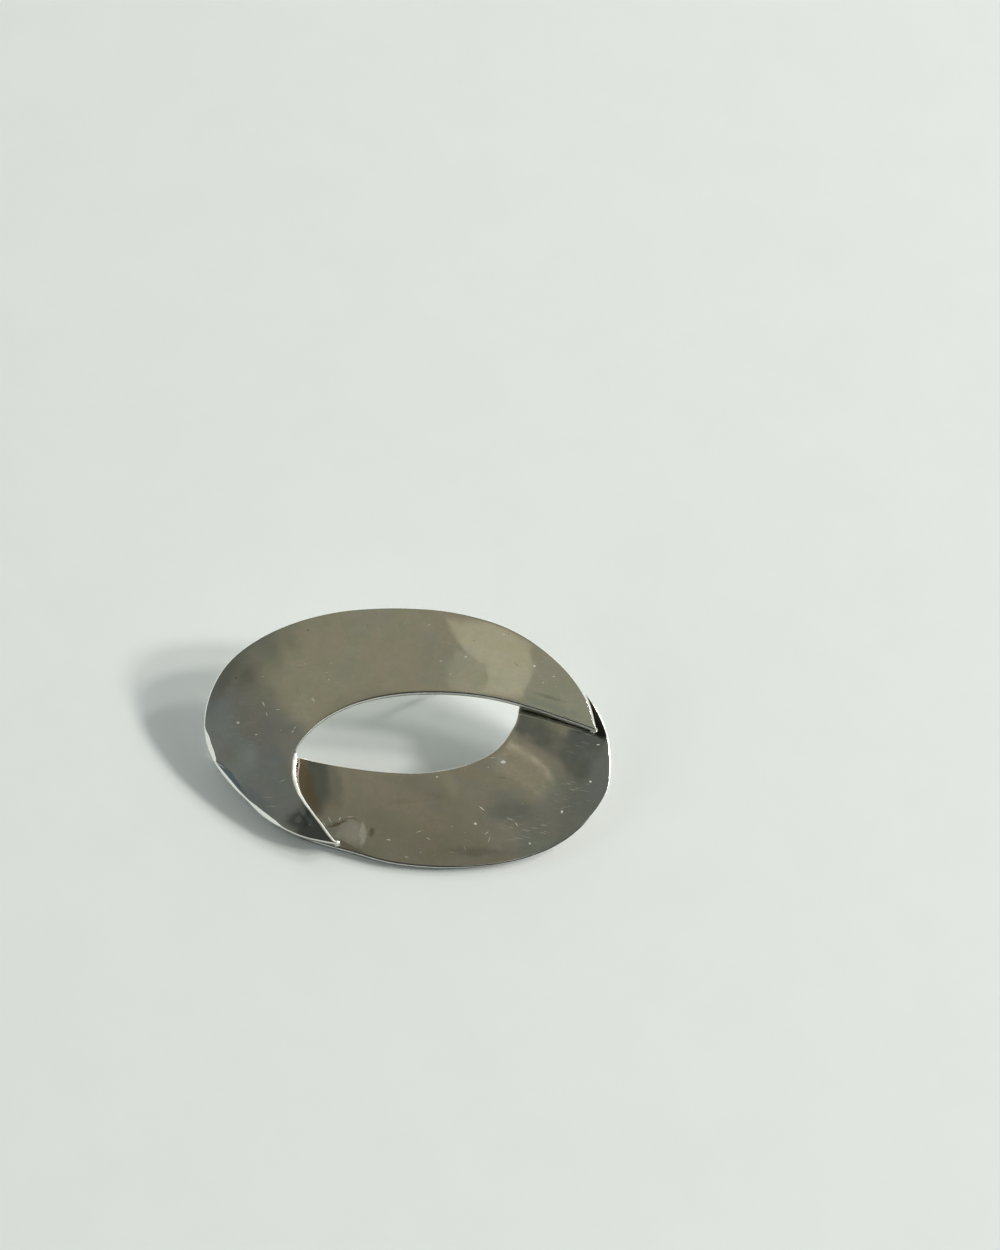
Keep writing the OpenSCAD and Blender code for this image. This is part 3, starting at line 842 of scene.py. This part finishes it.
def silver(name, hand_marks, seed):
    """Polished sheet silver with faint tarnish, stained patches, scratches, file marks and specks of
    dust, with painted shade along the foot of its walls and, from the stain table, near the upper leaf's
    square tip.
    """
    stains_and_shade, blooms, pale_marks, dark_marks, scuffs = hand_marks
    material, nodes, shader = new_material(name)
    plan = nodes.flat(nodes.attribute("ring_mm", "Vector"))
    moved = nodes.mapped(plan, (seed, 2 * seed, 0))
    edge = nodes.attribute("edge_mm", "Fac")
    sheet = nodes.attribute("sheet_mm", "Vector")
    wall = nodes.ramp(edge, *ON_EDGE)
    face = nodes.ramp(nodes.split(sheet)[2], *ON_FACE)

    cloud = nodes.patches(moved, *CLOUDS)
    colour = nodes.mix(cloud, SILVER_CLEAN, SILVER_WARM)
    mottle = nodes.patches(nodes.mapped(moved, scale=MOTTLE_STRETCH), *MOTTLE)
    colour = nodes.mix(mottle, colour, SILVER_OLIVE)
    for number, (tint, scale, strength) in enumerate(TARNISH):
        place = nodes.mapped(moved, (TARNISH_STEP[0] * number, TARNISH_STEP[1], 0))
        field = nodes.patches(place, (scale, *TARNISH_NOISE), *TARNISH_EDGE, 0, strength)
        colour = nodes.mix(field, colour, tint)
    bent = nodes.shift(plan, moved, *BENDING)
    # Stain patches, and in the lower leaf two near-black patches of painted shade by the upper leaf's
    # square tip
    for tint, strength, centre, radii, turn, soft in stains_and_shade:
        inside = nodes.times(blot(nodes, bent, centre, radii, turn, soft), strength, face)
        colour = nodes.mix(inside, colour, tint)

    rim = nodes.times(nodes.ramp(edge, *RIM_STAIN), nodes.patches(moved, *RIM_PATCHES))
    rim = nodes.times(rim, nodes.ramp(nodes.split(plan)[0], *RIM_FADE), face)
    colour = nodes.mix(rim, colour, STAIN_BROWN)

    curved = nodes.shift(plan, moved, *CURVING)
    lines = nodes.chain("MAXIMUM", (hairs(nodes, curved, *scratch, seed) for scratch in SCRATCHES))
    lines = nodes.times(lines, nodes.patches(moved, *WEAR))
    scuffed = nodes.times(hairs(nodes, curved, *SCUFF_HAIRS, seed), marked(nodes, plan, scuffs))
    scratched = nodes.math("MAXIMUM", lines, scuffed)

    dots = nodes.cells(nodes.shift(moved, moved, *CRUMBLING), DUST_CELLS)
    size = nodes.ramp(nodes.split(dots["Color"])[0], *DUST_SIZE)
    speck = nodes.times(nodes.math("LESS_THAN", dots["Distance"], size), DUST_STRENGTH)
    torn = nodes.shift(plan, moved, *TEARING)
    speck = nodes.math("MAXIMUM", speck, marked(nodes, torn, pale_marks))
    grit = nodes.times(speck, face)
    bloom = nodes.times(marked(nodes, bent, blooms), face)
    speck = nodes.math("MAXIMUM", grit, bloom)
    pit = nodes.times(marked(nodes, torn, dark_marks), face)

    down = nodes.attribute("wall_mm", "Fac")
    # Painted shade: the foot of each wall darkened in patches, for shadow and dark reflection under the
    # sheet's edge, partly the cut edge's own brownish tint; the same place is also made rougher
    patchy_foot_shade = nodes.patches(nodes.mapped(sheet, scale=FOOT_SHADE_STRETCH), *FOOT_SHADE_PATCHES)
    sawn_shaded_foot = nodes.times(nodes.ramp(down, *ON_SHADED_FOOT), patchy_foot_shade)
    colour = nodes.mix(nodes.times(wall, EDGE_SHOWS), colour, SILVER_EDGE)
    # Painted shade at the foot of the wall
    colour = nodes.mix(sawn_shaded_foot, colour, SAWN_FOOT_SHADE)
    colour = nodes.mix(nodes.times(scratched, SCRATCH_SHOWS), colour, SILVER_EDGE)
    colour = nodes.mix(pit, colour, STAIN_DARK)
    pale = nodes.mix(nodes.ramp(bloom, *BLOOM_OVER_DUST), DUST, BLOOM)
    colour = nodes.mix(speck, colour, pale)
    metal = nodes.math("SUBTRACT", 1, speck)

    filed_lines = nodes.noise(nodes.mapped(sheet, scale=FILE_STRETCH), *FILE_LINES)[0]
    haze = nodes.patches(moved, *HAZES)
    satin = nodes.ramp(face, 0, 1, WALL_ROUGH, 0)
    rough = nodes.math("ADD", haze, nodes.times(scratched, SCRATCH_ROUGH))
    rough = nodes.math("ADD", rough, nodes.times(speck, SPECK_ROUGH))
    strip = nodes.times(nodes.ramp(down, *STRIP_TOP), nodes.ramp(down, *STRIP_FOOT))
    rough = nodes.math("ADD", rough, nodes.times(strip, STRIP_ROUGH))
    rough = nodes.math("ADD", rough, nodes.times(sawn_shaded_foot, SAWN_ROUGH))
    rough = nodes.math("ADD", rough, satin, clamp=True)

    height = nodes.times(nodes.noise(moved, *DENTS)[0], DENT_RISE)
    height = nodes.math("ADD", height, nodes.times(lines, SCRATCH_RISE))
    height = nodes.math("ADD", height, nodes.times(grit, SPECK_RISE))
    height = nodes.math("ADD", height, nodes.times(filed_lines, wall, FILED_RISE))
    put_surface(nodes, shader, colour, metal, rough, height, BUMP)
    return material


def post_silver():
    """Drawn wire and its pad: a little brighter, with rings left by drawing and soldering."""
    material, nodes, shader = new_material("post_silver")
    place = nodes.add("ShaderNodeTexCoord").outputs["Object"]
    colour = nodes.mix(nodes.patches(place, *POST_CLOUDS), SILVER_EDGE, SILVER_WARM)
    rough = nodes.patches(place, *POST_POLISH)
    drawn = nodes.noise(nodes.mapped(place, scale=DRAWN_STRETCH), *DRAWN_LINES)[0]
    put_surface(nodes, shader, colour, 1.0, rough, drawn, DRAWN_BUMP)
    return material


def solder_silver():
    """Solder: rounder, brighter and a little pitted."""
    material, nodes, shader = new_material("solder_silver")
    place = nodes.add("ShaderNodeTexCoord").outputs["Object"]
    pits = nodes.noise(place, *SOLDER_PITS)[0]
    colour = nodes.mix(nodes.ramp(pits, *PIT_TINTS), SILVER_WARM, SILVER_EDGE)
    put_surface(nodes, shader, colour, 1.0, nodes.ramp(pits, *PIT_ROUGH), pits, PIT_BUMP)
    return material


def floor():
    mesh = bpy.data.meshes.new("floor")
    h = FLOOR_SIZE / 2
    mesh.from_pydata([(-h, -h, 0), (h, -h, 0), (h, h, 0), (-h, h, 0)], [], [(0, 1, 2, 3)])
    made = scene_object("floor", mesh)
    material, nodes, shader = new_material("pale_board")
    place = nodes.add("ShaderNodeTexCoord").outputs["Object"]
    mottle = nodes.patches(place, *FLOOR_MOTTLE)
    dim = tuple(FLOOR_DIM * c for c in FLOOR_COLOUR[:3]) + (1,)
    nodes.put(shader.inputs["Base Color"], nodes.mix(mottle, dim, FLOOR_COLOUR))
    shader.inputs["Roughness"].default_value = FLOOR_ROUGH
    shader.inputs["Specular IOR Level"].default_value = FLOOR_SHINE
    mesh.materials.append(material)


def pane(azimuth, elevation, power):
    data = bpy.data.lights.new("pane", "AREA")
    data.shape = "DISK"
    data.size = 2 * PANE_RADIUS
    data.energy = power
    data.color = PANE_COLOUR
    lamp = scene_object("pane", data)
    turn, lift = math.radians(azimuth), math.radians(elevation)
    towards = Vector((math.cos(lift) * math.cos(turn), math.cos(lift) * math.sin(turn), math.sin(lift)))
    lamp.location = towards * PANE_DISTANCE
    lamp.rotation_mode = "QUATERNION"
    lamp.rotation_quaternion = towards.to_track_quat("Z", "Y")


def studio():
    """Surroundings by the direction they lie in, x to the right, y away and z up."""
    world = bpy.data.worlds.new("studio")
    bpy.context.scene.world = world
    world.use_nodes = True
    nodes = Nodes(world.node_tree)
    way = nodes.add("ShaderNodeTexCoord").outputs["Generated"]
    z = nodes.split(way)[2]
    flat = nodes.flat(nodes.shift(way, way, *ROOM_BLUR))
    x, y, _ = nodes.split(flat)
    across = nodes.math("SQRT", nodes.math("SUBTRACT", OVERHEAD, nodes.times(z, z)))
    leftward = nodes.math("ADD", x, nodes.times(y, LEFTWARD))
    axes = {
        "x": x,
        "y": y,
        "z": z,
        "ahead": nodes.math("DIVIDE", y, across),
        "side": nodes.math("DIVIDE", x, across),
        "leftward": nodes.math("ADD", leftward, nodes.ramp(y, *LEFTWARD_STEP)),
        "slant": nodes.math("ADD", x, nodes.times(y, SLANT)),
        "skew": nodes.math("ADD", y, nodes.times(x, SKEW)),
    }
    window = nodes.mix(nodes.ramp(z, *WINDOW_TO_LOW), ROOM["window"], ROOM["window_low"])
    tints = {
        **ROOM,
        "near": nodes.mix(nodes.ramp(y, *NEAR_TO_LOW), ROOM["near"], ROOM["low"]),
        "wall": nodes.mix(nodes.ramp(axes["side"], *WALLS_TO_WINDOW), ROOM["walls"], window),
    }
    colour = ROOM["ceiling"]
    for tint, parts, spots in ROOM_ZONES:
        covers = []
        for edges in parts:
            covers.append(nodes.times(*(nodes.ramp(axes[axis], *limits) for axis, *limits in edges)))
        for *shape, strength in spots:
            covers.append(nodes.times(blot(nodes, flat, *shape), strength))
        colour = nodes.mix(nodes.chain("MAXIMUM", covers), colour, tints[tint])
    background = world.node_tree.nodes["Background"]
    nodes.put(background.inputs["Color"], colour)
    background.inputs["Strength"].default_value = 1.0


def camera(pose):
    """The photograph's view of the resting ring."""
    away = Vector((math.sin(VIEW_TOWARDS_RIGHT), -math.sin(VIEW_TOWARDS_NEAR), 0))
    away.z = math.sqrt(1 - away.length_squared)
    up = (Vector((0, 1, 0)) - away.y * away).normalized()
    right = up.cross(away)
    image_right = math.cos(VIEW_ROLL) * right + math.sin(VIEW_ROLL) * up
    image_up = -math.sin(VIEW_ROLL) * right + math.cos(VIEW_ROLL) * up
    turn = pose.to_3x3()
    eye = pose @ (away * VIEW_DISTANCE * MM)
    focal_px = VIEW_SCALE * VIEW_DISTANCE
    # The crown's place in the picture gives the direction of the picture's middle
    aside = (IMAGE_W / 2 - CROWN_PX[0]) / focal_px
    above = (CROWN_PX[1] - IMAGE_H / 2) / focal_px
    middle = turn @ (-away + aside * image_right + above * image_up)
    back = -middle.normalized()
    x = (turn @ image_up).cross(back).normalized()
    y = back.cross(x)
    data = bpy.data.cameras.new("camera")
    data.sensor_width = SENSOR
    data.lens = focal_px * SENSOR / IMAGE_H
    data.clip_start, data.clip_end = CLIP_NEAR, CLIP_FAR
    made = scene_object("camera", data)
    made.matrix_world = Matrix.Translation(eye) @ Matrix((x, y, back)).transposed().to_4x4()
    bpy.context.scene.camera = made


bpy.context.scene.view_settings.view_transform = "Standard"

upper, upper_rows = leaf(
    "upper_leaf", (UPPER_OUTER, UPPER_INNER), (UPPER_OUTER_FILED, UPPER_INNER_FILED), True, UPPER_SEED)
lower, lower_rows = leaf(
    "lower_leaf", (LOWER_OUTER, LOWER_INNER), (LOWER_OUTER_FILED, LOWER_INNER_FILED), False, LOWER_SEED)
beads = solder(((upper_rows, True), (lower_rows, False)))
post = ear_post()
pose = rest_pose(np.vstack([upper_rows.reshape(-1, 3), lower_rows.reshape(-1, 3)]))

upper.data.materials.append(silver("silver_upper", UPPER_MARKS, UPPER_SEED))
lower.data.materials.append(silver("silver_lower", LOWER_MARKS, LOWER_SEED))
beads.data.materials.append(solder_silver())
post.data.materials.append(post_silver())
for piece, node, slot in (
    (upper, "leaves", "polished_silver"),
    (lower, "leaves", "polished_silver"),
    (beads, "leaves", "polished_silver"),
    (post, "ear_post", "post_silver"),
):
    piece.data.transform(pose)
    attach(piece, "root")
    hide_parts(node)

floor()
for azimuth, elevation, power in PANES:
    pane(azimuth, elevation, power)
studio()
camera(pose)
